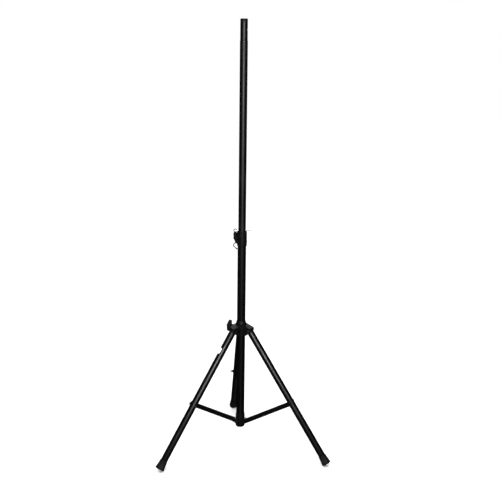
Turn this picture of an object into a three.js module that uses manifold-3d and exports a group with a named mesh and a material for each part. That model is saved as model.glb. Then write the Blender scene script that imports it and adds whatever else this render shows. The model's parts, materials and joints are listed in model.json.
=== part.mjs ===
// A folding tripod stand for a PA loudspeaker: a lower tube with a clamped telescopic mast, and three
// braced legs on a sliding hub. Millimetres, +Z up, origin on the floor under the middle of the footprint.
import * as THREE from 'three';
import { mergeVertices } from 'three/addons/utils/BufferGeometryUtils.js';
import Module from 'manifold-3d';

// ---- driving dimensions -------------------------------------------------------------------------

const LEG_COUNT = 3;
const FIRST_LEG_AZIMUTH = Math.PI / 2;
const TUBE_WALL = 1.5;
const GAP = 0.3; // clearance that neighbouring pieces keep

// sides of the round shapes
const POLE_FACETS = 32;
const LEG_FACETS = 24;
const BOLT_FACETS = 12;

// the pole, all heights measured on the pole axis
const LOWER_TUBE = { radius: 21, bottom: 136, top: 1150 };
const MAST = { radius: 18.5, bottom: 1035, top: 2067.7 };
const SPIGOT = { radius: 17.5, top: 2155, neckDepth: 60, rivetDrop: 5 };
const TOP_CAP = { height: 11.7, rounding: 2.5, plugDepth: 25 };
const PIN_HOLES = { count: 8, pitch: 110, radius: 3.4 };

// a knob's two swept-back arms on its round neck; back and tip are measured inwards from the outer face
const WING = { tipHeight: 21, tipRadius: 8, tipBack: 12.5, back: 22, thickness: 14.4, bevel: 2.5 };
const NECK_RADIUS = 9.4;

// the clamp on top of the lower tube
const CLAMP = { radius: 24.2, bottom: 1084, top: 1159.5, bead: 25.3, beadHeight: 1106 };
const CLAMP_KNOB = { azimuth: THREE.MathUtils.degToRad(230), height: 1135, bossEnd: 31, reach: 29, turn: 0.28 };

// the locking pin and its pull ring
const PIN = { radius: 3.1, height: 1163, tip: 41.5, head: -29.5, ringHole: -26 };
// the ring's wire is bare where it passes the pin, and sleeved beyond bareAngle on either side
const RING = { radius: 7.3, wire: 1.3, sleeve: 1.9, bareAngle: 0.9, holeGap: 0.85 };

// the lanyard, a thin cord from the pull ring down behind the clamp, out in a slack loop and back to
// its anchor screw
const ANCHOR = { azimuth: THREE.MathUtils.degToRad(215), height: 1070 };
const LANYARD_RADIUS = 2.3;
const LANYARD_ROUTE = [
  [-33.5, 0.5, 1152], [-37, 5, 1143], [-36.5, 9, 1126], [-31, 9, 1104], [-35.5, 5, 1096.5],
  [-42, 1, 1089], [-36, -5, 1080.5], [-28, -11.5, 1074.5], [-22.6, -15, 1071.4],
];

// the sliding hub
const HUB = { radius: 26, bottom: 620, top: 697, bore: 21.25 };
const ARM = { halfWidth: 22, pocketHalfWidth: 17.9, pocketStart: 27.5, reach: 62.8, wall: 3.2, slope: 0.4 };
const ARM_SHOULDER = { r: 33, z: 675.5 }; // a point of the arms' sloping top face
const HUB_KNOB = {
  azimuth: THREE.MathUtils.degToRad(150), height: 660, bossEnd: 40, reach: 37, turn: 0.45,
};

// the legs, in the vertical plane of each leg: distance from the pole axis and height
const LEG_RADIUS = 17.25;
const HUB_PIVOT = { r: 47, z: 650 };
const FOOT_SPREAD = 482;
const FOOT = { radius: 23.5, lip: 18.7, length: 45, rounding: 3 };

// the struts between the lower collar and the legs
const COLLAR = { radius: 23.2, bottom: 124, top: 192 };
const COLLAR_PIVOT = { r: 28, z: 154.2 };
const BRACE_SPREAD = 282; // distance of the leg end of a strut from the pole axis
const STRUT = { halfHeight: 12, depth: 6, web: 2, rim: 2 };
const LUG = { radius: 12.5, near: 17.3, far: 9 };
const BOLT = { shank: 4, hole: 4.3, head: 6.8, headHeight: 5 };

// a blank paper label round part of one leg, by distance below the hub pivot
const LABEL = { leg: 1, from: 104, to: 134, start: -1.05, end: 0.42, thickness: 0.2 };

// ---- the tripod worked out from them -------------------------------------------------------------

const footHeight = (angle) => FOOT.radius * Math.sin(angle);
let legAngle = Math.PI / 5; // from the vertical, settled with the height of the foot's centre
for (let i = 0; i < 20; i += 1) {
  legAngle = Math.atan2(FOOT_SPREAD - HUB_PIVOT.r, HUB_PIVOT.z - footHeight(legAngle));
}
const legLength = (FOOT_SPREAD - HUB_PIVOT.r) / Math.sin(legAngle);
const braceDistance = (BRACE_SPREAD - HUB_PIVOT.r) / Math.sin(legAngle);
const braceHeight = HUB_PIVOT.z - braceDistance * Math.cos(legAngle);
const strutRise = braceHeight - COLLAR_PIVOT.z;
const strutRun = BRACE_SPREAD - COLLAR_PIVOT.r;
const strutLength = Math.hypot(strutRise, strutRun);
const strutAngle = Math.atan2(strutRise, strutRun); // above the horizontal
const strutFace = LEG_RADIUS + GAP + 0.05; // the strut's near face, beside its leg

// ---- materials ----------------------------------------------------------------------------------

function material(color, roughness, metalness) {
  return new THREE.MeshStandardMaterial({ color, roughness, metalness });
}
const blackPaint = material(0x17181a, 0.38, 0.1);
const blackPlastic = material(0x151516, 0.55, 0);
const blackRubber = material(0x121212, 0.85, 0);
const zincSteel = material(0x9a9ca0, 0.35, 0.9);
const darkSteel = material(0x2a2b2d, 0.4, 0.8);
const lanyardPlastic = material(0x2c2c2e, 0.5, 0);
const labelPaper = material(0xe6e6e2, 0.6, 0);
const greyNylon = material(0x3a3a3c, 0.6, 0);

// ---- solids -------------------------------------------------------------------------------------

const wasm = await Module();
wasm.setup();

function solidOf(geometry) {
  const bare = geometry.clone();
  bare.deleteAttribute('normal');
  bare.deleteAttribute('uv');
  const merged = mergeVertices(bare, 1e-4);
  return new wasm.Manifold(new wasm.Mesh({
    numProp: 3,
    vertProperties: new Float32Array(merged.attributes.position.array),
    triVerts: new Uint32Array(merged.index.array),
  }));
}

function geometryOf(solid) {
  const mesh = solid.getMesh();
  const geometry = new THREE.BufferGeometry();
  geometry.setAttribute('position', new THREE.BufferAttribute(mesh.vertProperties, 3));
  geometry.setIndex(new THREE.BufferAttribute(mesh.triVerts, 1));
  return geometry;
}

function join(...geometries) {
  return geometryOf(geometries.map(solidOf).reduce((whole, piece) => whole.add(piece)));
}

function cut(geometry, ...tools) {
  return geometryOf(tools.map(solidOf).reduce((whole, tool) => whole.subtract(tool), solidOf(geometry)));
}

function overlap(one, other) {
  return geometryOf(solidOf(one).intersect(solidOf(other)));
}

// A body of revolution about Z from [radius, height] points, listed anticlockwise round the profile.
function turned(points, facets = POLE_FACETS) {
  const profile = points.map(([radius, height]) => new THREE.Vector2(radius, height));
  if (points[0][0] > 0) profile.push(profile[0].clone());
  return new THREE.LatheGeometry(profile, facets).rotateX(Math.PI / 2);
}

function tube(outer, inner, bottom, top, facets = POLE_FACETS) {
  return turned([[inner, bottom], [outer, bottom], [outer, top], [inner, top]], facets);
}

// A rod along X, Y or Z between two places on that axis.
function rod(axis, radius, from, to, facets = BOLT_FACETS) {
  const geometry = new THREE.CylinderGeometry(radius, radius, to - from, facets);
  geometry.translate(0, (from + to) / 2, 0);
  if (axis === 'x') geometry.rotateZ(-Math.PI / 2);
  if (axis === 'z') geometry.rotateX(Math.PI / 2);
  return geometry;
}

// An outline in the plane of a leg, given as distance from the pole and height, thickened sideways
// from one side position to another; positive sides are anticlockwise seen from above.
function slab(shape, side0, side1, bevel = 0) {
  const geometry = new THREE.ExtrudeGeometry(shape, {
    depth: side1 - side0 - 2 * bevel,
    bevelEnabled: bevel > 0,
    bevelThickness: bevel,
    bevelSize: bevel,
    bevelOffset: -bevel,
    bevelSegments: 1,
    curveSegments: 10,
  });
  return geometry.rotateX(Math.PI / 2).translate(0, side1 - bevel, 0);
}

function polygon(points) {
  return new THREE.Shape(points.map(([x, y]) => new THREE.Vector2(x, y)));
}

// A bar outline with round ends, along X from 0 to its length.
function linkOutline(length, radius) {
  const shape = new THREE.Shape();
  shape.absarc(length, 0, radius, -Math.PI / 2, Math.PI / 2, false);
  shape.absarc(0, 0, radius, Math.PI / 2, 1.5 * Math.PI, false);
  return shape;
}

const speakerStand = new THREE.Group();
const stand = new THREE.Group();
speakerStand.add(stand);

function piece(parent, name, geometry, look) {
  const mesh = new THREE.Mesh(geometry, look);
  mesh.name = name;
  geometry.computeVertexNormals();
  parent.add(mesh);
  return mesh;
}

// A closed round cord along a curve.
function cord(path, radius, steps) {
  const section = polygon(Array.from({ length: 8 }, (_, i) => {
    const turn = ((i + 0.5) / 8) * 2 * Math.PI;
    return [radius * Math.cos(turn), radius * Math.sin(turn)];
  }));
  return new THREE.ExtrudeGeometry(section, { steps, extrudePath: path });
}

// ---- fasteners ----------------------------------------------------------------------------------

// A hexagon bolt across the leg plane: the head on the clockwise side, its seat at the origin.
function crossBolt(shankLength) {
  const head = rod('y', BOLT.head, -BOLT.headHeight, 0, 6);
  return join(head, rod('y', BOLT.shank, -0.5, shankLength));
}

// A hexagon nut on such a bolt, its seat at the origin.
function crossNut(height) {
  return cut(rod('y', BOLT.head, 0, height, 6), rod('y', BOLT.hole, -1, height + 1));
}

// ---- the clamping knobs ---------------------------------------------------------------------------

// The arms seen from the side: along X from the neck to the reach, and Y along the arms.
function wingOutline(reach) {
  const { tipHeight, tipRadius, tipBack, back } = WING;
  const shape = new THREE.Shape();
  shape.moveTo(reach - back, -NECK_RADIUS);
  shape.lineTo(reach - tipBack - tipRadius, -tipHeight);
  shape.absarc(reach - tipBack, -tipHeight, tipRadius, Math.PI, 1.9 * Math.PI, false);
  shape.quadraticCurveTo(reach, -NECK_RADIUS, reach, 0);
  shape.quadraticCurveTo(reach, NECK_RADIUS, reach - tipBack + tipRadius * Math.cos(0.1 * Math.PI),
    tipHeight + tipRadius * Math.sin(0.1 * Math.PI));
  shape.absarc(reach - tipBack, tipHeight, tipRadius, 0.1 * Math.PI, Math.PI, false);
  shape.lineTo(reach - back, NECK_RADIUS);
  return shape;
}

// Moulded knob along +X from its neck at the origin, with a blind hole for its stud.
function knob(reach, turn) {
  const wing = new THREE.ExtrudeGeometry(wingOutline(reach), {
    depth: WING.thickness - 2 * WING.bevel,
    bevelThickness: WING.bevel,
    bevelSize: WING.bevel,
    bevelOffset: -WING.bevel,
    bevelSegments: 1,
    curveSegments: 6,
  });
  wing.translate(0, 0, WING.bevel - WING.thickness / 2).rotateX(Math.PI / 2);
  const core = turned([
    [0, 0], [NECK_RADIUS - 0.8, 0], [NECK_RADIUS, 1], [NECK_RADIUS, reach - 1.5], [NECK_RADIUS - 1.8, reach + 0.6],
    [0, reach + 0.6],
  ], LEG_FACETS).rotateY(Math.PI / 2);
  return cut(join(wing, core), rod('x', BOLT.hole, -1, reach - 9)).rotateX(turn);
}

// One knob with its stud, in a boss that ends at bossEnd from the pole axis.
function addKnob(name, place, studTip) {
  const side = new THREE.Group();
  side.rotation.z = place.azimuth;
  side.position.z = place.height;
  stand.add(side);
  const start = place.bossEnd + 1;
  piece(side, name, knob(place.reach, place.turn), blackPlastic).position.x = start;
  piece(side, `${name}_stud`, rod('x', BOLT.shank, studTip, start + place.reach - 10), zincSteel);
}

// A rod along the radial direction of a knob, for its boss or its hole.
function knobRod(place, radius, from, to) {
  return rod('x', radius, from, to, LEG_FACETS).rotateZ(place.azimuth).translate(0, 0, place.height);
}

// ---- the pole -----------------------------------------------------------------------------------

function addLowerTube() {
  const { radius, bottom, top } = LOWER_TUBE;
  const body = tube(radius, radius - TUBE_WALL, bottom, top);
  const studHole = knobRod(CLAMP_KNOB, BOLT.shank + 1, 10, radius + 5);
  piece(stand, 'lower_tube', cut(body, studHole), blackPaint);
}

// The hole of the rivet that holds the spigot in the mast.
function rivetHole() {
  return rod('y', 2.3, -30, 0).translate(0, 0, MAST.top - SPIGOT.rivetDrop);
}

function addMast() {
  const { radius, bottom, top } = MAST;
  const holes = Array.from({ length: PIN_HOLES.count }, (_, i) => (
    rod('x', PIN_HOLES.radius, -30, 30).translate(0, 0, PIN.height + i * PIN_HOLES.pitch)
  ));
  const body = tube(radius, radius - TUBE_WALL, bottom, top);
  piece(stand, 'mast_tube', cut(body, ...holes, rivetHole()), blackPaint);

  // the guide plug on the mast's lower end runs inside the lower tube
  const plugRadius = LOWER_TUBE.radius - TUBE_WALL - 0.25;
  const plugNeck = radius - TUBE_WALL - GAP;
  const seat = bottom - GAP;
  piece(stand, 'mast_guide_plug', turned([
    [0, seat - 12], [plugRadius - 1, seat - 12], [plugRadius, seat - 11], [plugRadius, seat],
    [plugNeck, seat], [plugNeck, seat + 38], [0, seat + 38],
  ]), greyNylon);
}

function addSpigot() {
  const seat = MAST.top + GAP;
  const neck = MAST.radius - TUBE_WALL - GAP;
  const bore = neck - 2.2;
  const body = turned([
    [bore, seat - SPIGOT.neckDepth], [neck, seat - SPIGOT.neckDepth], [neck, seat], [SPIGOT.radius, seat],
    [SPIGOT.radius, SPIGOT.top], [bore, SPIGOT.top],
  ]);
  piece(stand, 'spigot', cut(body, rivetHole()), blackPaint);

  const rivet = turned([
    [0, 0], [3.4, 0], [3.4, 0.6], [2.4, 1.6], [0, 2],
  ], BOLT_FACETS);
  const shank = rod('z', 1.9, -5, 0.2);
  const head = join(rivet, shank).rotateX(Math.PI / 2);
  piece(stand, 'spigot_rivet', head, zincSteel).position.set(0, -MAST.radius - 0.2, MAST.top - SPIGOT.rivetDrop);

  const { height, rounding, plugDepth } = TOP_CAP;
  const base = SPIGOT.top + GAP;
  const top = base + height;
  const corner = Array.from({ length: 4 }, (_, i) => {
    const turn = (i / 3) * (Math.PI / 2);
    const centre = SPIGOT.radius - rounding;
    return [centre + rounding * Math.cos(turn), top - rounding + rounding * Math.sin(turn)];
  });
  piece(stand, 'top_cap', turned([
    [0, base - plugDepth], [bore - GAP - 0.6, base - plugDepth], [bore - GAP, base - plugDepth + 2],
    [bore - GAP, base], [SPIGOT.radius, base], ...corner, [0, top],
  ]), blackPlastic);
}

// ---- the clamp on the lower tube ------------------------------------------------------------------

function addClamp() {
  const { radius, bottom, top, bead, beadHeight } = CLAMP;
  const seat = LOWER_TUBE.radius + GAP;
  const lip = MAST.radius + 0.8;
  const body = turned([
    [seat, bottom], [radius - 1.6, bottom], [radius, bottom + 4], [radius, beadHeight - 4],
    [bead, beadHeight - 2], [bead, beadHeight + 2], [radius, beadHeight + 4], [radius, top - 1.5],
    [radius - 1.5, top], [lip, top], [lip, LOWER_TUBE.top + 4], [seat, LOWER_TUBE.top + 4],
  ]);
  const boss = knobRod(CLAMP_KNOB, 10.5, seat + 0.5, CLAMP_KNOB.bossEnd);
  const hole = knobRod(CLAMP_KNOB, BOLT.hole, 10, CLAMP_KNOB.bossEnd + 1);
  piece(stand, 'clamp_body', cut(join(body, boss), hole), blackPlastic);

  // a flanged liner in the tube's mouth guides the mast
  const inner = MAST.radius + 0.2;
  const outer = LOWER_TUBE.radius - TUBE_WALL - 0.2;
  const flange = LOWER_TUBE.top + GAP;
  const liner = turned([
    [inner, bottom + 15], [outer, bottom + 15], [outer, flange], [LOWER_TUBE.radius, flange],
    [LOWER_TUBE.radius, flange + 3], [inner, flange + 3],
  ]);
  const studHole = knobRod(CLAMP_KNOB, BOLT.shank + 1, 10, 30);
  piece(stand, 'mast_liner', cut(liner, studHole), greyNylon);

  addKnob('clamp_knob', CLAMP_KNOB, MAST.radius + 0.4);
}

// ---- the locking pin, its ring and its lanyard ------------------------------------------------------

function addLockingPin() {
  const { radius, height, tip, head, ringHole } = PIN;
  const shaft = turned([
    [0, head], [radius - 0.8, head], [radius, head + 0.8], [radius, tip - 3], [radius - 1.4, tip], [0, tip],
  ], 16).rotateY(Math.PI / 2);
  const hole = rod('z', RING.wire + RING.holeGap, -10, 10).translate(ringHole, 0, 0);
  piece(stand, 'locking_pin', cut(shaft, hole), zincSteel).position.z = height;

  const wire = new THREE.TorusGeometry(RING.radius, RING.wire, 8, 24).rotateX(Math.PI / 2);
  const arc = Array.from({ length: 19 }, (_, i) => {
    const turn = RING.bareAngle + (i / 18) * 2 * (Math.PI - RING.bareAngle);
    return new THREE.Vector3(RING.radius * Math.cos(turn), 0, RING.radius * Math.sin(turn));
  });
  const sleeve = cord(new THREE.CatmullRomCurve3(arc), RING.sleeve, 20);
  piece(stand, 'pull_ring', join(wire, sleeve), lanyardPlastic)
    .position.set(ringHole - RING.radius, 0, height);
}

function addLanyard() {
  const route = new THREE.CatmullRomCurve3(LANYARD_ROUTE.map((point) => new THREE.Vector3(...point)));
  piece(stand, 'pin_lanyard', cord(route, LANYARD_RADIUS, 36), lanyardPlastic);

  // a pan-head screw in the lower tube holds the lanyard's end
  const seat = LOWER_TUBE.radius + 0.4;
  const screw = turned([
    [0, 0], [4.2, 0], [4.2, 1.2], [3.6, 2.2], [0, 3.1],
  ], BOLT_FACETS).rotateY(Math.PI / 2);
  screw.translate(seat, 0, 0).rotateZ(ANCHOR.azimuth).translate(0, 0, ANCHOR.height);
  piece(stand, 'lanyard_screw', screw, darkSteel);
}

// ---- the sliding hub ------------------------------------------------------------------------------

// Height of the top face of an arm at a distance from the pole, lowered by a wall where asked.
function armTop(distance, lowered = 0) {
  return ARM_SHOULDER.z - ARM.slope * (distance - ARM_SHOULDER.r) - lowered;
}

function addHub() {
  const { radius, bottom, top, bore } = HUB;
  const sleeve = turned([
    [bore, bottom], [radius - 1.2, bottom], [radius, bottom + 2], [radius, top - 13],
    [radius - 1, top - 9], [bore + 1.2, top], [bore, top],
  ]);
  const outline = polygon([
    [15, armTop(15)], [ARM.reach - 3, armTop(ARM.reach - 3)], [ARM.reach, armTop(ARM.reach) - 3],
    [ARM.reach - 1.5, 647], [44, 632], [30, bottom + 3], [15, bottom + 3],
  ]);
  const pocketOutline = polygon([
    [ARM.pocketStart, armTop(ARM.pocketStart, ARM.wall)], [80, armTop(80, ARM.wall)],
    [80, bottom - 20], [ARM.pocketStart, bottom - 20],
  ]);
  const arms = [];
  const tools = [];
  for (let leg = 0; leg < LEG_COUNT; leg += 1) {
    const turn = FIRST_LEG_AZIMUTH + (leg * 2 * Math.PI) / LEG_COUNT;
    arms.push(slab(outline, -ARM.halfWidth, ARM.halfWidth, 1.6).rotateZ(turn));
    tools.push(slab(pocketOutline, -ARM.pocketHalfWidth, ARM.pocketHalfWidth).rotateZ(turn));
    const pin = rod('y', BOLT.hole, -40, 40).translate(HUB_PIVOT.r, 0, HUB_PIVOT.z);
    tools.push(pin.rotateZ(turn));
  }
  const boss = knobRod(HUB_KNOB, 11, bore + 0.5, HUB_KNOB.bossEnd);
  tools.push(knobRod(HUB_KNOB, BOLT.hole, 10, HUB_KNOB.bossEnd + 1));
  tools.push(rod('z', bore, bottom - 10, top + 10, POLE_FACETS));
  piece(stand, 'hub_body', cut(join(sleeve, ...arms, boss), ...tools), blackPlastic);
  addKnob('hub_knob', HUB_KNOB, LOWER_TUBE.radius + 0.4);
}

// ---- the lower collar -----------------------------------------------------------------------------

function addCollar() {
  const { radius, bottom, top } = COLLAR;
  const seat = LOWER_TUBE.radius + GAP;
  const ledge = LOWER_TUBE.bottom - GAP;
  const sleeve = turned([
    [17, bottom], [radius, bottom], [radius, top - 7], [radius - 0.9, top], [seat, top],
    [seat, ledge], [17, ledge],
  ]);
  const lugOutline = new THREE.Shape();
  lugOutline.absarc(COLLAR_PIVOT.r, COLLAR_PIVOT.z, LUG.radius, -Math.PI / 2, Math.PI / 2, false);
  lugOutline.lineTo(10, COLLAR_PIVOT.z + LUG.radius);
  lugOutline.lineTo(10, COLLAR_PIVOT.z - LUG.radius);
  const lugs = [];
  const holes = [rod('z', seat, ledge, top + 10, POLE_FACETS), rod('z', 17, bottom - 10, top, POLE_FACETS)];
  for (let leg = 0; leg < LEG_COUNT; leg += 1) {
    const turn = FIRST_LEG_AZIMUTH + (leg * 2 * Math.PI) / LEG_COUNT;
    lugs.push(slab(lugOutline, -LUG.near, LUG.far, 1).rotateZ(turn));
    const pin = rod('y', BOLT.hole, -40, 40).translate(COLLAR_PIVOT.r, 0, COLLAR_PIVOT.z);
    holes.push(pin.rotateZ(turn));
  }
  piece(stand, 'lower_collar', cut(join(sleeve, ...lugs), ...holes), blackPlastic);

  piece(stand, 'end_cap', turned([
    [0, bottom - 5.5], [18, bottom - 5.5], [21, bottom - 4], [22, bottom - 1.5], [22, bottom - GAP],
    [16.7, bottom - GAP], [16.7, bottom + 9], [0, bottom + 9],
  ]), blackPlastic);
}

// ---- one leg with its strut -----------------------------------------------------------------------

// The knuckle closes the leg tube's upper end and turns on the hub's bolt.
function knuckleGeometry() {
  const shoulder = -14;
  const body = turned([
    [0, shoulder - 45], [LEG_RADIUS - TUBE_WALL - GAP, shoulder - 45],
    [LEG_RADIUS - TUBE_WALL - GAP, shoulder], [LEG_RADIUS - 0.05, shoulder], [LEG_RADIUS - 0.05, 20], [0, 20],
  ], LEG_FACETS);
  const side = new THREE.Shape();
  side.absarc(0, 0, 15, 0, Math.PI, false);
  side.lineTo(-LEG_RADIUS - 1, -12);
  side.lineTo(-LEG_RADIUS - 1, shoulder - 50);
  side.lineTo(LEG_RADIUS + 1, shoulder - 50);
  side.lineTo(LEG_RADIUS + 1, -12);
  return cut(overlap(body, slab(side, -30, 30)), rod('y', BOLT.hole, -40, 40));
}

function legTubeGeometry() {
  const body = tube(LEG_RADIUS, LEG_RADIUS - TUBE_WALL, -legLength + 8, -14 - GAP, LEG_FACETS);
  return cut(body, rod('y', BOLT.hole, -40, 40).translate(0, 0, -braceDistance));
}

// A flared rubber foot over the leg's end, with a round rim.
function footGeometry() {
  const { radius, lip, length, rounding } = FOOT;
  const bottom = -legLength;
  const inner = LEG_RADIUS + GAP;
  const rim = Array.from({ length: 4 }, (_, i) => {
    const turn = (i / 3 - 1) * (Math.PI / 2);
    const centre = radius - rounding;
    return [centre + rounding * Math.cos(turn), bottom + rounding + rounding * Math.sin(turn)];
  });
  return turned([
    [0, bottom], ...rim, [radius - 2.6, bottom + 22], [lip + 0.6, bottom + length - 3],
    [lip + 0.6, bottom + length], [inner, bottom + length], [inner, bottom + 7.5], [0, bottom + 7.5],
  ], LEG_FACETS);
}

// A pressed link with a rolled rim, hollow on its clockwise side; the origin is its collar pivot.
function strutGeometry() {
  const outline = linkOutline(strutLength, STRUT.halfHeight);
  const hollow = linkOutline(strutLength, STRUT.halfHeight - STRUT.rim);
  const body = cut(
    slab(outline, -STRUT.depth, 0),
    slab(hollow, -STRUT.depth - 5, -STRUT.web),
    rod('y', BOLT.hole, -20, 20),
    rod('y', BOLT.hole, -20, 20).translate(strutLength, 0, 0),
  );
  return body.rotateY(-strutAngle);
}

// The bolt end and nut of a strut's outer joint, on the anticlockwise side of the leg; the thread's end
// stops short of the strut, where the linkage is parted.
function braceStudGeometry() {
  const washer = rod('y', 8.6, LEG_RADIUS + GAP, LEG_RADIUS + 2, LEG_FACETS);
  const nut = rod('y', BOLT.head, LEG_RADIUS + 1.8, LEG_RADIUS + 8.5, 6);
  const shank = rod('y', BOLT.shank, -LEG_RADIUS, LEG_RADIUS + 16);
  return join(washer, nut, shank);
}

function addLeg(number, azimuth) {
  const side = new THREE.Group();
  side.rotation.z = azimuth;
  stand.add(side);

  const leg = new THREE.Group();
  leg.position.set(HUB_PIVOT.r, 0, HUB_PIVOT.z);
  leg.rotation.y = -legAngle;
  side.add(leg);
  piece(leg, `leg_knuckle_${number}`, knuckleGeometry(), blackPlastic);
  piece(leg, `leg_tube_${number}`, legTubeGeometry(), blackPaint);
  piece(leg, `leg_foot_${number}`, footGeometry(), blackRubber);
  piece(leg, `brace_stud_${number}`, braceStudGeometry(), darkSteel).position.z = -braceDistance;

  const seat = ARM.halfWidth + GAP;
  const hubBolt = piece(side, `hub_bolt_${number}`, crossBolt(2 * seat + 8), darkSteel);
  hubBolt.position.set(HUB_PIVOT.r, -seat, HUB_PIVOT.z);
  const hubNut = piece(side, `hub_nut_${number}`, crossNut(6.5), darkSteel);
  hubNut.position.set(HUB_PIVOT.r, seat, HUB_PIVOT.z);

  const strut = piece(side, `strut_${number}`, strutGeometry(), blackPaint);
  strut.position.set(COLLAR_PIVOT.r, -strutFace, COLLAR_PIVOT.z);

  const boltSeat = -strutFace - STRUT.web - GAP;
  const braceBolt = piece(side, `brace_bolt_${number}`, crossBolt(STRUT.web + GAP), darkSteel);
  braceBolt.position.set(BRACE_SPREAD, boltSeat, braceHeight);
  const collarBolt = piece(side, `collar_bolt_${number}`, crossBolt(LUG.far + 8 - boltSeat), darkSteel);
  collarBolt.position.set(COLLAR_PIVOT.r, boltSeat, COLLAR_PIVOT.z);
  const collarNut = piece(side, `collar_nut_${number}`, crossNut(6), darkSteel);
  collarNut.position.set(COLLAR_PIVOT.r, LUG.far + GAP, COLLAR_PIVOT.z);
  return leg;
}

function addLabel(leg) {
  const inner = LEG_RADIUS + GAP;
  const shape = new THREE.Shape();
  shape.absarc(0, 0, inner + LABEL.thickness, LABEL.start, LABEL.end, false);
  shape.absarc(0, 0, inner, LABEL.end, LABEL.start, true);
  const sheet = new THREE.ExtrudeGeometry(shape, {
    depth: LABEL.to - LABEL.from,
    bevelEnabled: false,
    curveSegments: 8,
  });
  piece(leg, 'leg_label', sheet.translate(0, 0, -LABEL.to), labelPaper);
}

addLowerTube();
addMast();
addSpigot();
addClamp();
addLockingPin();
addLanyard();
addHub();
addCollar();
for (let index = 0; index < LEG_COUNT; index += 1) {
  const leg = addLeg(index + 1, FIRST_LEG_AZIMUTH + (index * 2 * Math.PI) / LEG_COUNT);
  if (index === LABEL.leg) addLabel(leg);
}

// the origin goes to the middle of the footprint, on the floor
const box = new THREE.Box3().setFromObject(stand, true);
stand.position.set(-(box.min.x + box.max.x) / 2, -(box.min.y + box.max.y) / 2, -box.min.z);

export default speakerStand;
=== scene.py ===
import math

import bmesh
import bpy
from mathutils import Matrix, Vector
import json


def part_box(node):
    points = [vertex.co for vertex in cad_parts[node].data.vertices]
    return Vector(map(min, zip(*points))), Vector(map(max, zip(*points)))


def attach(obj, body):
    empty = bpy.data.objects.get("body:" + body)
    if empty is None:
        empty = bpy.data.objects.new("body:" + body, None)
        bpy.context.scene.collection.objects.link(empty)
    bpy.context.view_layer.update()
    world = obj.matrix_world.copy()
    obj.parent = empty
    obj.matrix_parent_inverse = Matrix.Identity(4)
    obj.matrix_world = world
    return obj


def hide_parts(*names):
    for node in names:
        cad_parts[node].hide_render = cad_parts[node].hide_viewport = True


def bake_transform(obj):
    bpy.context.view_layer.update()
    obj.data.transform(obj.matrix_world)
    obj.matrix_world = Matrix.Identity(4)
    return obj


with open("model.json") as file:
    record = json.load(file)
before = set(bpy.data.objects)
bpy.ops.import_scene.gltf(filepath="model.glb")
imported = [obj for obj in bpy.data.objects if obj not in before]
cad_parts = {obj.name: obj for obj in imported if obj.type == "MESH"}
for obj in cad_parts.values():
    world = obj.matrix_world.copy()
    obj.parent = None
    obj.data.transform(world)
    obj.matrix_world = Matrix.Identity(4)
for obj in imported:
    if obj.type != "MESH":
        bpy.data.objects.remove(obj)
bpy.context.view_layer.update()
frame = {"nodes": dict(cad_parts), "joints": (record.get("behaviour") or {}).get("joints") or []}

MM = 0.001
joints = {joint["name"]: joint for joint in frame["joints"]}
scene = bpy.context.scene


# ---- places, from the frame ----

def middle(node):
    low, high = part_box(node)
    return (low + high) / 2


def heights(node):
    """Lowest and highest point of a node, in millimetres."""
    low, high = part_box(node)
    return low.z / MM, high.z / MM


def axes_frame(origin, x, y, z):
    matrix = Matrix((x, y, z)).transposed().to_4x4()
    matrix.translation = origin
    return matrix


def round_pole(azimuth, height):
    """A frame on the pole axis with X pointing out at an azimuth, for a height in millimetres."""
    return Matrix.Translation(pole + Vector((0, 0, height * MM))) @ Matrix.Rotation(azimuth, 4, "Z")


pole = middle("lower_tube")
pole.z = 0
upright = Matrix.Translation(pole)
LEGS = (1, 2, 3)


def fold_frame(joint_name, tip_node, handed):
    """A frame at a leg's or a strut's pivot: Z towards the tip, Y sideways, anticlockwise from above."""
    joint = joints[joint_name]
    origin = Vector(joint["pos_m"])
    side = handed * Vector(joint["axis"]).normalized()
    along = middle(tip_node) - origin
    along = (along - along.dot(side) * side).normalized()
    return axes_frame(origin, side.cross(along), side, along)


def reach(frame_matrix, node):
    """How far a node's middle lies along a fold frame's Z, in millimetres."""
    return (frame_matrix.inverted() @ middle(node)).z / MM


leg_frames = {n: fold_frame(f"leg_{n}_fold", f"brace_stud_{n}", 1) for n in LEGS}
strut_frames = {n: fold_frame(f"brace_{n}_fold", f"brace_bolt_{n}", -1) for n in LEGS}


def leg_turn(n):
    """The rotation from X to the direction of a leg."""
    out = Vector(joints[f"leg_{n}_fold"]["pos_m"]) - pole
    return Matrix.Rotation(math.atan2(out.y, out.x), 4, "Z")


# ---- camera, light and floor ----

CAMERA_PLACE = Vector((0.0144, -4.110, 2.1268))  # from the pole's foot, before the turn below
CAMERA_TURN = math.radians(-4.95)  # round the pole
CAMERA_DOWN = math.radians(14.52)
CAMERA_YAW = math.radians(0.36)
CAMERA_ROLL = math.radians(0.71)
SENSOR = 36.0
FOCAL_RATIO = 1.72  # focal length over sensor width


def add_camera():
    forward = Vector((
        math.sin(CAMERA_YAW) * math.cos(CAMERA_DOWN),
        math.cos(CAMERA_YAW) * math.cos(CAMERA_DOWN),
        -math.sin(CAMERA_DOWN),
    ))
    right = forward.cross(Vector((0, 0, 1))).normalized()
    up = right.cross(forward)
    rolled_right = right * math.cos(CAMERA_ROLL) + up * math.sin(CAMERA_ROLL)
    rolled_up = up * math.cos(CAMERA_ROLL) - right * math.sin(CAMERA_ROLL)
    data = bpy.data.cameras.new("camera")
    data.sensor_width = SENSOR
    data.lens = SENSOR * FOCAL_RATIO
    camera = bpy.data.objects.new("camera", data)
    scene.collection.objects.link(camera)
    turn = Matrix.Translation(pole) @ Matrix.Rotation(CAMERA_TURN, 4, "Z")
    camera.matrix_world = turn @ axes_frame(CAMERA_PLACE, rolled_right, rolled_up, -forward)
    scene.camera = camera


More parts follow.
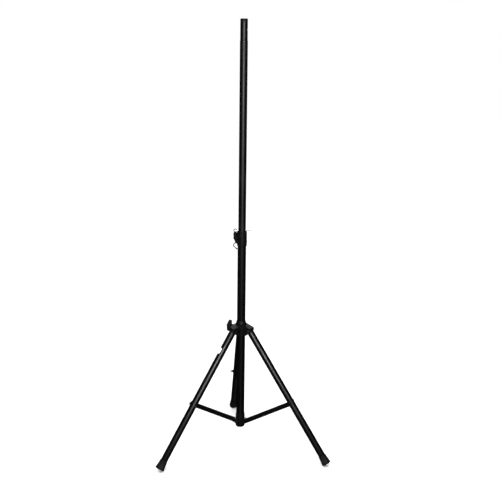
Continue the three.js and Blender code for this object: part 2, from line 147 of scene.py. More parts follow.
OVERHEAD_STRENGTH = 4.0
OVERHEAD_ANGLE = math.radians(60)
OVERHEAD_TILT = (math.radians(18), math.radians(-8), 0)
BACKDROP_SEEN = 1.0  # strength of the world as the camera sees it
BACKDROP_LIGHT = 0.025  # and as it lights the stand
FLOOR_HALF = 30.0
# name, place and target from the pole's foot, width, height, power in watts, spread in degrees
SOFT_BOXES = (
    ("front_box", (0.3, -4.3, 2.25), (0, 0, 1.6), 0.9, 0.7, 56, 75),
    ("rear_box", (-0.1, 4.3, 2.25), (0, 0, 1.6), 0.9, 0.7, 40, 75),
    ("top_box", (0.4, -1.2, 4.8), (0, 0, 0.7), 2.0, 2.0, 12, 180),
)


def soft_box(name, place, target, width, height, power, spread):
    data = bpy.data.lights.new(name, "AREA")
    data.shape = "RECTANGLE"
    data.size = width
    data.size_y = height
    data.energy = power
    data.spread = math.radians(spread)
    box = bpy.data.objects.new(name, data)
    scene.collection.objects.link(box)
    place = pole + Matrix.Rotation(CAMERA_TURN, 3, "Z") @ Vector(place)
    box.location = place
    box.rotation_mode = "QUATERNION"
    box.rotation_quaternion = (pole + Vector(target) - place).to_track_quat("-Z", "Y")
    box.visible_camera = False


def add_studio():
    scene.view_settings.view_transform = "Standard"
    world = bpy.data.worlds.new("studio")
    scene.world = world
    world.use_nodes = True
    nodes, links = world.node_tree.nodes, world.node_tree.links
    background = nodes["Background"]
    seen = nodes.new("ShaderNodeBackground")
    seen.inputs["Color"].default_value = (1, 1, 1, 1)
    seen.inputs["Strength"].default_value = BACKDROP_SEEN
    background.inputs["Color"].default_value = (0.95, 0.97, 1, 1)
    background.inputs["Strength"].default_value = BACKDROP_LIGHT
    path = nodes.new("ShaderNodeLightPath")
    mix = nodes.new("ShaderNodeMixShader")
    links.new(path.outputs["Is Camera Ray"], mix.inputs["Fac"])
    links.new(background.outputs[0], mix.inputs[1])
    links.new(seen.outputs[0], mix.inputs[2])
    links.new(mix.outputs[0], nodes["World Output"].inputs["Surface"])

    sky = bpy.data.lights.new("overhead", "SUN")
    sky.energy = OVERHEAD_STRENGTH
    sky.angle = OVERHEAD_ANGLE
    overhead = bpy.data.objects.new("overhead", sky)
    scene.collection.objects.link(overhead)
    overhead.rotation_euler = OVERHEAD_TILT
    overhead.visible_glossy = False

    for box in SOFT_BOXES:
        soft_box(*box)

    floor_mesh = bpy.data.meshes.new("floor")
    corners = [(x * FLOOR_HALF, y * FLOOR_HALF, 0) for x, y in ((-1, -1), (1, -1), (1, 1), (-1, 1))]
    floor_mesh.from_pydata(corners, [], [(0, 1, 2, 3)])
    floor = bpy.data.objects.new("floor", floor_mesh)
    scene.collection.objects.link(floor)
    pale = bpy.data.materials.new("pale_floor")
    pale.use_nodes = True
    shader = pale.node_tree.nodes["Principled BSDF"]
    shader.inputs["Base Color"].default_value = (0.86, 0.86, 0.86, 1)
    shader.inputs["Roughness"].default_value = 0.9
    shader.inputs["Specular IOR Level"].default_value = 0.1
    floor_mesh.materials.append(pale)
    floor.visible_glossy = False


# ---- materials ----

class Look:
    """A material's node tree on a principled shader, with patterns in the object's own coordinates."""

    def __init__(self, name, roughness, metallic=0.0, specular=0.5):
        self.material = bpy.data.materials.new(name)
        self.material.use_nodes = True
        self.nodes = self.material.node_tree.nodes
        self.links = self.material.node_tree.links
        self.shader = self.nodes["Principled BSDF"]
        self.shader.inputs["Roughness"].default_value = roughness
        self.shader.inputs["Metallic"].default_value = metallic
        self.shader.inputs["Specular IOR Level"].default_value = specular
        self.place = self.nodes.new("ShaderNodeTexCoord").outputs["Object"]

    def put(self, socket, value):
        """A number or tuple is set on a socket, and another node's output is linked to it."""
        if isinstance(value, bpy.types.NodeSocket):
            self.links.new(value, socket)
        else:
            socket.default_value = value

    def node(self, kind, **inputs):
        node = self.nodes.new("ShaderNode" + kind)
        for name, value in inputs.items():
            self.put(node.inputs[name.replace("_", " ")], value)
        return node

    def noise(self, scale, detail=3.0, stretch=(1, 1, 1), rough=0.5):
        """Noise with so many features to the metre, stretched where a factor is under 1."""
        place = self.node("Mapping", Scale=stretch, Vector=self.place).outputs[0]
        return self.node("TexNoise", Scale=scale, Detail=detail, Roughness=rough, Vector=place).outputs["Fac"]

    def cells(self, scale):
        voronoi = self.node("TexVoronoi", Scale=scale, Vector=self.place)
        voronoi.feature = "SMOOTH_F1"
        return voronoi.outputs["Distance"]

    def edges(self, low, high):
        """1 on outer edges, 0 elsewhere."""
        return self.spread(self.node("NewGeometry").outputs["Pointiness"], low, high)

    def spread(self, value, low, high, to_low=0.0, to_high=1.0):
        """The value from low to high spread over another range, and held outside it."""
        ramp = self.node("MapRange", Value=value, From_Min=low, From_Max=high, To_Min=to_low, To_Max=to_high)
        return ramp.outputs["Result"]

    def times(self, one, other):
        return self.math("MULTIPLY", one, other)

    def plus(self, one, other):
        return self.math("ADD", one, other)

    def math(self, operation, one, other):
        """The result is held between 0 and 1."""
        node = self.node("Math")
        node.operation = operation
        node.use_clamp = True
        self.put(node.inputs[0], one)
        self.put(node.inputs[1], other)
        return node.outputs[0]

    def blend(self, factor, one, other):
        """A colour between two, each a colour or the output of another blend."""
        mix = self.node("Mix", Factor=factor)
        mix.data_type = "RGBA"
        for socket, value in ((mix.inputs[6], one), (mix.inputs[7], other)):
            self.put(socket, (*value, 1) if isinstance(value, tuple) else value)
        return mix.outputs[2]

    def colour(self, output):
        self.links.new(output, self.shader.inputs["Base Color"])

    def roughness(self, output):
        self.links.new(output, self.shader.inputs["Roughness"])

    def bump(self, *layers):
        """Each layer is a height pattern with its strength and its depth in metres."""
        normal = None
        for height, strength, depth in layers:
            bump = self.node("Bump", Strength=strength, Distance=depth, Height=height)
            if normal is not None:
                self.links.new(normal, bump.inputs["Normal"])
            normal = bump.outputs["Normal"]
        self.links.new(normal, self.shader.inputs["Normal"])


BLACK = (0.0006, 0.0006, 0.00065)
SCUFFED = (0.012, 0.012, 0.0125)
DUST = (0.022, 0.021, 0.02)
PAINT_GRAIN = 650.0  # bumps to the metre


def paint(name, roughness, specular, scuff_low):
    """Black powder coat: orange peel, long handling scuffs and thin wear on the edges."""
    look = Look(name, roughness, specular=specular)
    blotch = look.noise(9, 2)
    scuffs = look.times(
        look.spread(look.noise(420, 5, (1, 1, 0.14), 0.7), scuff_low, scuff_low + 0.08),
        look.spread(look.noise(22, 2, (1, 1, 0.5)), 0.5, 0.68),
    )
    edge = look.times(look.edges(0.53, 0.6), look.spread(look.noise(300, 4), 0.35, 0.6))
    tint = look.blend(look.spread(blotch, 0.35, 0.65), BLACK, tuple(1.5 * c for c in BLACK))
    tint = look.blend(scuffs, tint, SCUFFED)
    look.colour(look.blend(edge, tint, (0.02, 0.02, 0.021)))
    plain = look.spread(blotch, 0.3, 0.7, roughness - 0.05, roughness + 0.06)
    look.roughness(look.plus(plain, look.times(scuffs, 0.2)))
    look.bump((look.noise(PAINT_GRAIN, 2), 0.12, 0.0004), (look.noise(90, 2), 0.05, 0.0008))
    return look.material


def moulded(name, roughness, specular, colour, grain=1100.0, strength=0.3):
    """Black moulded plastic: a fine spark-eroded grain, flow blotches and lighter edges."""
    look = Look(name, roughness, specular=specular)
    blotch = look.noise(32, 3)
    edge = look.edges(0.52, 0.62)
    lighter = tuple(2.2 * c + 0.001 for c in colour)
    tint = look.blend(look.spread(blotch, 0.3, 0.7), colour, lighter)
    look.colour(look.blend(look.times(edge, 0.5), tint, SCUFFED))
    look.roughness(look.spread(blotch, 0.3, 0.7, roughness - 0.07, roughness + 0.07))
    look.bump((look.cells(grain), strength, 0.00025), (look.noise(grain * 2.2, 2), strength * 0.6, 0.0002))
    return look.material


def rubber():
    """Dull black rubber, dusty and scraped grey towards the floor."""
    look = Look("foot_rubber", 0.8, specular=0.25)
    scrapes = look.spread(look.noise(150, 5, (1, 1, 0.5), 0.7), 0.55, 0.72)
    height = look.node("SeparateXYZ", Vector=look.place).outputs["Z"]
    low_down = look.spread(height, 0.001, 0.03, 1.0, 0.25)
    patches = look.spread(look.noise(40, 3), 0.35, 0.7)
    tint = look.blend(patches, (0.0022, 0.0022, 0.0022), (0.005, 0.0048, 0.0046))
    look.colour(look.blend(look.times(scrapes, low_down), tint, DUST))
    look.roughness(look.spread(scrapes, 0, 1, 0.72, 0.9))
    look.bump((look.noise(900, 4), 0.35, 0.0003), (scrapes, 0.2, 0.0003))
    return look.material


def plated(name, colour, roughness, spots):
    """Plated steel: fine turning marks, a cloudy film and small dull spots."""
    look = Look(name, roughness, metallic=1.0)
    cloud = look.noise(120, 3)
    marks = look.noise(1800, 2, (1, 0.08, 0.08))
    dull = look.spread(look.noise(700, 4), spots, spots + 0.08)
    darker = tuple(0.45 * c for c in colour)
    tint = look.blend(look.spread(cloud, 0.35, 0.7), colour, tuple(0.75 * c for c in colour))
    look.colour(look.blend(dull, tint, darker))
    plain = look.spread(cloud, 0.3, 0.7, roughness - 0.06, roughness + 0.1)
    look.roughness(look.plus(plain, look.times(dull, 0.25)))
    look.bump((marks, 0.1, 0.0001))
    return look.material


def cord_coating():
    """A dark coating over a stranded wire, whose lay shows as slanted ridges."""
    look = Look("lanyard_plastic", 0.35, specular=0.12)
    wave = look.node("TexWave", Scale=260, Distortion=0.6, Vector=look.place)
    wave.bands_direction = "DIAGONAL"
    strands = wave.outputs["Fac"]
    look.colour(look.blend(strands, (0.0006, 0.0006, 0.0006), (0.003, 0.003, 0.0032)))
    look.roughness(look.spread(look.noise(200, 2), 0.3, 0.7, 0.28, 0.45))
    look.bump((strands, 0.4, 0.0002))
    return look.material


def film_label():
    """Blank white film, faintly creased and smudged."""
    look = Look("label_film", 0.45, specular=0.4)
    smudge = look.spread(look.noise(110, 4, rough=0.7), 0.52, 0.75)
    look.colour(look.blend(smudge, (0.86, 0.86, 0.84), (0.6, 0.59, 0.57)))
    look.roughness(look.spread(smudge, 0, 1, 0.38, 0.6))
    look.bump((look.noise(160, 3), 0.15, 0.0004), (look.noise(1500, 2), 0.05, 0.0001))
    return look.material


def nylon():
    look = Look("grey_nylon", 0.5, specular=0.3)
    patches = look.spread(look.noise(60, 3), 0.35, 0.65)
    look.colour(look.blend(patches, (0.02, 0.02, 0.021), (0.035, 0.035, 0.036)))
    look.roughness(look.spread(look.noise(200, 2), 0.3, 0.7, 0.42, 0.58))
    look.bump((look.noise(800, 3), 0.2, 0.0002))
    return look.material


SLOTS = {
    "pole_paint": paint("pole_paint", 0.42, 0.22, 0.60),
    "leg_paint": paint("leg_paint", 0.36, 0.29, 0.62),
    "strut_paint": paint("strut_paint", 0.45, 0.2, 0.58),
    "black_plastic": moulded("black_plastic", 0.5, 0.11, (0.001, 0.001, 0.0011)),
    "knob_plastic": moulded("knob_plastic", 0.55, 0.12, (0.0012, 0.0012, 0.0013), 1300, 0.35),
    "grey_nylon": nylon(),
    "foot_rubber": rubber(),
    "zinc_steel": plated("zinc_steel", (0.46, 0.46, 0.47), 0.32, 0.62),
    "dark_steel": plated("dark_steel", (0.06, 0.06, 0.065), 0.4, 0.58),
    "lanyard_plastic": cord_coating(),
    "label_paper": film_label(),
}

DULL_PAINT = paint("lower_tube_paint", 0.47, 0.09, 0.58)  # the lower tube is duller than the mast


# ---- meshes ----

ALONG_X = Matrix.Rotation(math.pi / 2, 4, "Y")  # turns Z to X
ALONG_Y = Matrix.Rotation(-math.pi / 2, 4, "X")  # turns Z to Y


def shifted(bm, x=0.0, y=0.0, z=0.0):
    bm.transform(Matrix.Translation((x, y, z)))
    return bm


def turned_by(bm, matrix):
    bm.transform(matrix)
    return bm


def circle(count):
    """Equally spaced directions, each as its cosine and sine."""
    turns = [2 * math.pi * k / count for k in range(count)]
    return [(math.cos(turn), math.sin(turn)) for turn in turns]


def vectors(*points):
    return [Vector(point) for point in points]


def bezier(start, control, end, t):
    return start * (1 - t) ** 2 + control * 2 * t * (1 - t) + end * t * t


def softened(points, radius, closed, steps=3):
    """The outline with its corners rounded; a point's third value is a radius of its own."""
    result = []
    for i, point in enumerate(points):
        corner = Vector(point[:2])
        if not closed and i in (0, len(points) - 1):
            result.append(corner)
            continue
        back = Vector(points[i - 1][:2]) - corner
        ahead = Vector(points[(i + 1) % len(points)][:2]) - corner
        own = point[2] if len(point) > 2 else radius
        half_angle = back.angle(ahead) / 2
        setback = min(own / max(math.tan(half_angle), 1e-3), 0.45 * back.length, 0.45 * ahead.length)
        if setback < 0.02:
            result.append(corner)
            continue
        start, end = corner + back.normalized() * setback, corner + ahead.normalized() * setback
        result += [bezier(start, corner, end, k / steps) for k in range(steps + 1)]
    return result


def bridge(bm, lower, upper):
    """Faces between two rings of vertices, either of which may be a single point."""
    count = max(len(lower), len(upper))
    for i in range(count):
        j = (i + 1) % count
        corners = [lower[i % len(lower)], lower[j % len(lower)], upper[j % len(upper)], upper[i % len(upper)]]
        corners = list(dict.fromkeys(corners))
        if len(corners) > 2:
            bm.faces.new(corners)


def turned(points, radius=0.4, segments=64, steps=3):
    """A body of revolution about Z from (distance, height) points with rounded corners."""
    closed = points[0][0] > 0
    bm = bmesh.new()
    rings = []
    for distance, height in softened(points, radius, closed, steps):
        if distance < 1e-6:
            rings.append([bm.verts.new((0, 0, height))])
            continue
        rings.append([bm.verts.new((distance * c, distance * s, height)) for c, s in circle(segments)])
    for lower, upper in zip(rings, rings[1:] + (rings[:1] if closed else [])):
        bridge(bm, lower, upper)
    bmesh.ops.recalc_face_normals(bm, faces=bm.faces)
    return bm


def collar(inner, outer, start, end, edge=0.3, segments=32):
    return turned([(inner, start), (outer, start), (outer, end), (inner, end)], edge, segments)


def rod(radius, start, end, edge=0.3, segments=32):
    return collar(0, radius, start, end, edge, segments)


def rod_along(axis, radius, start, end, edge=0.3, segments=32):
    return turned_by(rod(radius, start, end, edge, segments), axis)


def inset(outline, distance):
    """A closed outline moved inwards by a distance."""
    area = sum(a.x * b.y - b.x * a.y for a, b in zip(outline, outline[1:] + outline[:1]))
    inward = math.copysign(1, area)
    result = []
    for i, point in enumerate(outline):
        before = (point - outline[i - 1]).normalized()
        after = (outline[(i + 1) % len(outline)] - point).normalized()
        left = Vector((-before.y, before.x)) * inward
        normal = (left + Vector((-after.y, after.x)) * inward).normalized()
        result.append(point + normal * distance / max(normal.dot(left), 0.5))
    return result


def layered(rings, put):
    """A closed body through rings of equally many points, each given with its depth."""
    bm = bmesh.new()
    loops = [[bm.verts.new(put(point.x, point.y, depth)) for point in ring] for ring, depth in rings]
    for lower, upper in zip(loops, loops[1:]):
        bridge(bm, lower, upper)
    bm.faces.new(loops[0])
    bm.faces.new(loops[-1])
    bmesh.ops.recalc_face_normals(bm, faces=bm.faces)
    return bm


def sideways(u, v, depth):
    return (u, depth, v)


def upward(u, v, depth):
    return (u, v, depth)


def cushioned(outline, start, end, rounding, steps=4):
    """Rings for a thick outline whose two rims are rounded."""
    turns = [k / steps * math.pi / 2 for k in range(steps + 1)]
    rims = [(inset(outline, rounding * (1 - math.sin(a))), rounding * (1 - math.cos(a))) for a in turns]
    return [(rim, start + rise) for rim, rise in rims] + [(rim, end - rise) for rim, rise in rims[::-1]]


def capsule(start, end, radius):
    """A bar outline with round ends."""
    points = []
    steps = 12
    for centre, first in ((end, -math.pi / 2), (start, math.pi / 2)):
        for k in range(steps + 1):
            turn = first + math.pi * k / steps
            points.append(Vector((centre + radius * math.cos(turn), radius * math.sin(turn))))
    return points


def swept(path, radius, sides=10, closed=False):
    """A round wire along a path, with domed ends if it is open; the radius may be one for each point."""
    bm = bmesh.new()
    count = len(path)
    radii = radius if isinstance(radius, list) else [radius] * count
    tangents = []
    for i in range(count):
        ahead = path[(i + 1) % count] if closed or i < count - 1 else path[i]
        back = path[i - 1] if closed or i > 0 else path[i]
        tangents.append((ahead - back).normalized())
    across = tangents[0].orthogonal().normalized()
    rings = []
    for point, tangent, thick in zip(path, tangents, radii):
        across = (across - across.dot(tangent) * tangent).normalized()
        other = tangent.cross(across)
        rings.append([bm.verts.new(point + thick * (across * c + other * s)) for c, s in circle(sides)])
    for lower, upper in zip(rings, rings[1:] + (rings[:1] if closed else [])):
        bridge(bm, lower, upper)
    if not closed:
        for end, way in ((0, -1), (-1, 1)):
            bridge(bm, rings[end], [bm.verts.new(path[end] + tangents[end] * way * radii[end] * 0.5)])
    bmesh.ops.recalc_face_normals(bm, faces=bm.faces)
    return bm


SPAN_STEPS = 8


def smooth_path(points):
    """A curve through the points, with SPAN_STEPS points from each to the next."""
    padded = [2 * points[0] - points[1], *points, 2 * points[-1] - points[-2]]
    path = []
    for a, b, c, d in zip(padded, padded[1:], padded[2:], padded[3:]):
        for k in range(SPAN_STEPS):
            t = k / SPAN_STEPS
            curve = 2 * b + (c - a) * t + (2 * a - 5 * b + 4 * c - d) * t ** 2
            path.append(0.5 * (curve + (3 * b - a - 3 * c + d) * t ** 3))
    return [*path, points[-1]]


def loose_object(bm, name):
    mesh = bpy.data.meshes.new(name)
    bm.to_mesh(mesh)
    bm.free()
    thing = bpy.data.objects.new(name, mesh)
    scene.collection.objects.link(thing)
    return thing


def add(bm):
    return "UNION", bm


def cut(bm):
    return "DIFFERENCE", bm


def carved(bm, steps):
    """The shape after each step: add(), cut() or another pair of an operation and a shape."""
    base = loose_object(bm, "base")
    tools = []
    for operation, tool in steps:
        tool = loose_object(tool, "tool")
        modifier = base.modifiers.new(operation, "BOOLEAN")
        modifier.operation = operation
        modifier.solver = "MANIFOLD"
        modifier.object = tool
        tools.append(tool)
    bpy.context.view_layer.update()
    shaped = base.evaluated_get(bpy.context.evaluated_depsgraph_get())
    result = bmesh.new()
    result.from_mesh(shaped.to_mesh())
    for thing in (base, *tools):
        bpy.data.objects.remove(thing)
    bmesh.ops.remove_doubles(result, verts=result.verts, dist=1e-3)
    bmesh.ops.dissolve_degenerate(result, edges=result.edges, dist=1e-3)
    return result


def merged(*bodies):
    """Several bodies as one mesh."""
    whole = bmesh.new()
    for body in bodies:
        mesh = bpy.data.meshes.new("part")
        body.to_mesh(mesh)
        body.free()
        whole.from_mesh(mesh)
        bpy.data.meshes.remove(mesh)
    return whole


def piece(name, bm, matrix, body, slot, node, sharp=32, weighted=False, look=None):
    """A finished piece from a shape in millimetres, in place of a CAD node; a body given carries it."""
    for face in bm.faces:
        face.smooth = True
    for edge in bm.edges:
        edge.smooth = len(edge.link_faces) == 2 and edge.calc_face_angle() < math.radians(sharp)
    bm.transform(matrix @ Matrix.Scale(MM, 4))
    thing = loose_object(bm, name)
    thing.data.materials.append(look or SLOTS[slot])
    if weighted:
        shading = thing.modifiers.new("shading", "WEIGHTED_NORMAL")
        shading.keep_sharp = True
    if body:
        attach(thing, body)
    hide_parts(node)
    return thing


def fastener(name, bm, matrix, body, node):
    piece(name, bm, matrix, body, "dark_steel", node)


# ---- fasteners ----

WASHER_RADIUS = 7.3
HEX_RADIUS = 6.8
HEX_HEIGHT = 5.0
BOLT_RADIUS = 4.0
THREAD_PITCH = 1.25
THREAD_DEPTH = 0.55
BOLT_HOLE_RADIUS = 4.3


def hexagon(radius):
    return vectors(*((radius * c, radius * s) for c, s in circle(6)))


def hex_head(start, end, chamfer_start, chamfer_end):
    """A hexagonal prism along Z whose corners are turned off to a cone at either face."""
    steps = [("INTERSECT", turned([
        (0, start), (HEX_RADIUS - chamfer_start, start), (HEX_RADIUS + 0.2, start + chamfer_start * 0.7),
        (HEX_RADIUS + 0.2, end - chamfer_end * 0.7), (HEX_RADIUS - chamfer_end, end), (0, end),
    ], 0.05, 48))]
    return carved(layered([(hexagon(HEX_RADIUS), start - 1), (hexagon(HEX_RADIUS), end + 1)], upward), steps)


def threaded(radius, start, end):
    """A threaded end, its grooves as rings, with a chamfered tip."""
    points = [(0, start)]
    z = start
    while z < end - THREAD_PITCH:
        points += [(radius - THREAD_DEPTH, z), (radius, z + THREAD_PITCH / 2)]
        z += THREAD_PITCH
    points += [(radius - THREAD_DEPTH, z), (radius - 1, end), (0, end)]
    return turned(points, 0.08, 32, 1)


def bolt(shank, thread):
    """A bolt along Z: its head below the seat at 0, a plain shank and a threaded end."""
    head = hex_head(-HEX_HEIGHT, 0, 1.0, 0)
    recess = rod(4.3, -HEX_HEIGHT - 0.2, -HEX_HEIGHT + 0.35, 0.1)
    washer = rod(WASHER_RADIUS, -0.9, -0.02, 0.2, 48)
    head = carved(head, [cut(recess), add(washer)])
    parts = [head, rod(BOLT_RADIUS, -0.5, max(shank, 0.6))]
    if thread > shank:
        parts.append(threaded(BOLT_RADIUS, shank, thread))
    return merged(*parts)


def lock_nut(height):
    """A nut along Z with its nylon collar, open in the middle."""
    body = hex_head(0, height * 0.72, 0.5, 0.9)
    nylon_ring = turned([
        (3, height * 0.6), (5.6, height * 0.6), (5.6, height * 0.86), (5.0, height), (4.3, height),
        (4.3, height * 0.62),
    ], 0.3, 48)
    bore = rod(4.15, -1, height + 1, 0.05)
    return carved(body, [add(nylon_ring), cut(bore)])


# ---- the pole ----

TUBE_WALL = 1.5


def tube(radius, bottom, top, segments=96):
    """A plain tube with softly turned ends."""
    return collar(radius - TUBE_WALL, radius, bottom, top, 0.5, segments)


def tube_radius(node):
    low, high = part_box(node)
    return (high.x - low.x) / 2 / MM


def cylinder_normals(thing, matrix):
    """Exact round shading on the outside of a drilled tube."""
    axis, origin = matrix.col[2].to_3d().normalized(), matrix.translation
    mesh = thing.data
    normals = []
    for polygon in mesh.polygons:
        for index in polygon.vertices:
            out = mesh.vertices[index].co - origin
            out = (out - out.dot(axis) * axis).normalized()
            lie = polygon.normal.dot(out)
            normals.append(tuple(out if lie > 0.97 else -out if lie < -0.97 else polygon.normal))
    mesh.normals_split_custom_set(normals)


def make_lower_tube():
    shape = tube(tube_radius("lower_tube"), *heights("lower_tube"))
    piece("pole_lower_tube", shape, upright, "stand", "pole_paint", "lower_tube", look=DULL_PAINT)


PIN_HOLE_RADIUS = 3.4
PIN_HOLE_PITCH = 110
PIN_HOLE_COUNT = 8


def make_mast():
    bottom, top = heights("mast_tube")
    radius = tube_radius("mast_tube")
    first = middle("locking_pin").z / MM
    drills = [
        shifted(rod_along(ALONG_X, PIN_HOLE_RADIUS, -30, 30), z=first + i * PIN_HOLE_PITCH)
        for i in range(PIN_HOLE_COUNT)
    ]
    mast = carved(tube(radius, bottom, top), [cut(merged(*drills))])
    cylinder_normals(piece("pole_mast_tube", mast, upright, "mast", "pole_paint", "mast_tube"), upright)

    # the spigot: a plain tube in the mast's mouth, with a turned band where it meets the mast
    low, high = heights("spigot")
    outer = tube_radius("spigot")
    seat = top + 0.3
    neck = radius - TUBE_WALL - 0.3
    bore = neck - 2.2
    profile = [
        (bore, low), (neck, low), (neck, seat), (outer - 0.3, seat, 0.2), (outer, seat + 1.2),
        (outer, high - 0.6), (outer - 0.5, high), (bore, high),
    ]
    piece("spigot_tube", turned(profile, 0.4, 96), upright, "mast", "pole_paint", "spigot")

    # a domed rivet through the mast's wall holds it
    rivet = merged(
        turned([(0, -0.1), (3.3, -0.1), (3.3, 0.5), (2.5, 1.4), (1.1, 1.9), (0.9, 1.5), (0, 1.5)], 0.3, 32),
        rod(1.9, -5, 0.1),
    )
    face = middle("spigot_rivet")
    low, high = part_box("spigot_rivet")
    place = axes_frame(*vectors((face.x, low.y + 2 * MM, face.z), (1, 0, 0), (0, 0, 1), (0, -1, 0)))
    piece("spigot_dome_rivet", rivet, place, "mast", "zinc_steel", "spigot_rivet")

    # the cap: a flat top with a moulding gate in a ring, and a shadow gap over the spigot
    low, high = heights("top_cap")
    base = heights("spigot")[1] + 0.3
    plug = bore - 0.3
    profile = [
        (0, low), (plug - 0.8, low), (plug, low + 2), (plug, base), (outer - 0.4, base, 0.2),
        (outer, base + 0.8), (outer, high - 2.6), (outer - 0.7, high - 0.7, 1.5), (outer - 2.6, high, 0.6),
        (9.5, high, 0.1), (9.3, high - 0.4, 0.1), (8.7, high - 0.4, 0.1), (8.5, high, 0.1),
        (1.6, high, 0.1), (1.5, high - 0.5, 0.1), (0, high - 0.5),
    ]
    piece("spigot_end_cap", turned(profile, 0.3, 96), upright, "mast", "black_plastic", "top_cap")


# ---- the clamping knobs ----

NECK_RADIUS = 9.4
ARM_TIP = 21  # height of an arm's round tip from the knob's axis
ARM_TIP_RADIUS = 8
ARM_TIP_BACK = 12.5  # behind the outer face
ARM_BACK = 22
ARM_HALF_THICKNESS = 7.2


def wing_outline(end):
    """Two swept-back arms seen from the side: along the axis, and along the arms."""
    tip = []
    for k in range(13):
        turn = math.pi * (1.0 - 0.9 * k / 12)
        across, up = ARM_TIP_RADIUS * math.cos(turn), ARM_TIP_RADIUS * math.sin(turn)
        tip.append((end - ARM_TIP_BACK + across, ARM_TIP + up))
    start = Vector(tip[-1])
    control, middle_point = Vector((end, NECK_RADIUS)), Vector((end, 0))
    face = [bezier(start, control, middle_point, k / 7) for k in range(1, 7)]
    half = [*vectors((end - ARM_BACK, NECK_RADIUS), *tip), *face]
    mirrored = [Vector((point.x, -point.y)) for point in reversed(half)]
    return half + [middle_point] + mirrored


def make_knob(part, end, turn, matrix):
    """A knob along X from its neck at 0: swept arms with grip grooves, a fluted neck and a dished cap."""
    rings = cushioned(wing_outline(end), -ARM_HALF_THICKNESS, ARM_HALF_THICKNESS, 2.8, steps=5)
    wing = layered(rings, sideways)
    core = turned([
        (0, 0), (NECK_RADIUS - 1, 0), (NECK_RADIUS, 1.2), (NECK_RADIUS, end - 1.5), (7.6, end + 0.6, 1.2),
        (5.8, end + 0.6, 0.3), (5.4, end - 0.2, 0.3), (0, end - 0.2),
    ], 0.6, 48)
    flutes = []
    for k in range(12):
        flute = shifted(rod_along(ALONG_X, 1.1, -1, end - ARM_BACK + 0.5, 0.8, 12), y=NECK_RADIUS + 0.35)
        flutes.append(turned_by(flute, Matrix.Rotation((k + 0.5) * math.pi / 6, 4, "X")))
    grips = []
    for way in (1, -1):
        for k in range(3):
            height = 14.5 + 4.2 * k
            face = end - 1.0 - 0.0075 * height ** 2
            grips.append(shifted(rod_along(ALONG_Y, 0.9, -9, 9, 0.4, 12), x=face + 0.55, z=way * height))
    stud_hole = rod_along(ALONG_X, BOLT_HOLE_RADIUS, -1, end - 9)
    whole = carved(turned_by(core, ALONG_X), [
        add(wing), cut(merged(*flutes)), cut(merged(*grips)), cut(stud_hole),
    ])
    turned_by(whole, Matrix.Rotation(turn, 4, "X"))
    name, node = f"{part}_wing_knob", f"{part}_knob"
    piece(name, whole, matrix, f"{part}_screw", "knob_plastic", node, weighted=True)


def make_screw(part, azimuth, height, boss_end, reach, turn, tip):
    """The knob of the clamp or the hub, and its threaded stud from the tip outwards."""
    place = round_pole(azimuth, height)
    neck_start = boss_end + 1
    make_knob(part, reach, turn, place @ Matrix.Translation((neck_start * MM, 0, 0)))
    thread = threaded(BOLT_RADIUS, tip + 1.5, neck_start + reach - 10)
    stud = turned_by(merged(thread, rod(BOLT_RADIUS - 0.8, tip, tip + 1.6, 0.5)), ALONG_X)
    piece(f"{part}_wing_stud", stud, place, f"{part}_screw", "zinc_steel", f"{part}_knob_stud")


# ---- the clamp ----

CLAMP_AZIMUTH = math.radians(230)
CLAMP_RADIUS = 24.2
CLAMP_BEAD = 25.3
CLAMP_BEAD_RISE = 22
CLAMP_BOSS_END = 31
CLAMP_KNOB_REACH = 29
CLAMP_KNOB_TURN = 0.28  # radians, fitted to the photograph
SLEEVE_GAP = 0.3


def flared_boss(radius, flare, start, foot, end):
    """A boss along X that widens into the sleeve it stands on."""
    outline = [
        (0, start), (flare, start), (flare, foot), (radius, foot + flare - radius, 4), (radius, end),
        (0, end),
    ]
    return turned_by(turned(outline, 0.9, 64), ALONG_X)


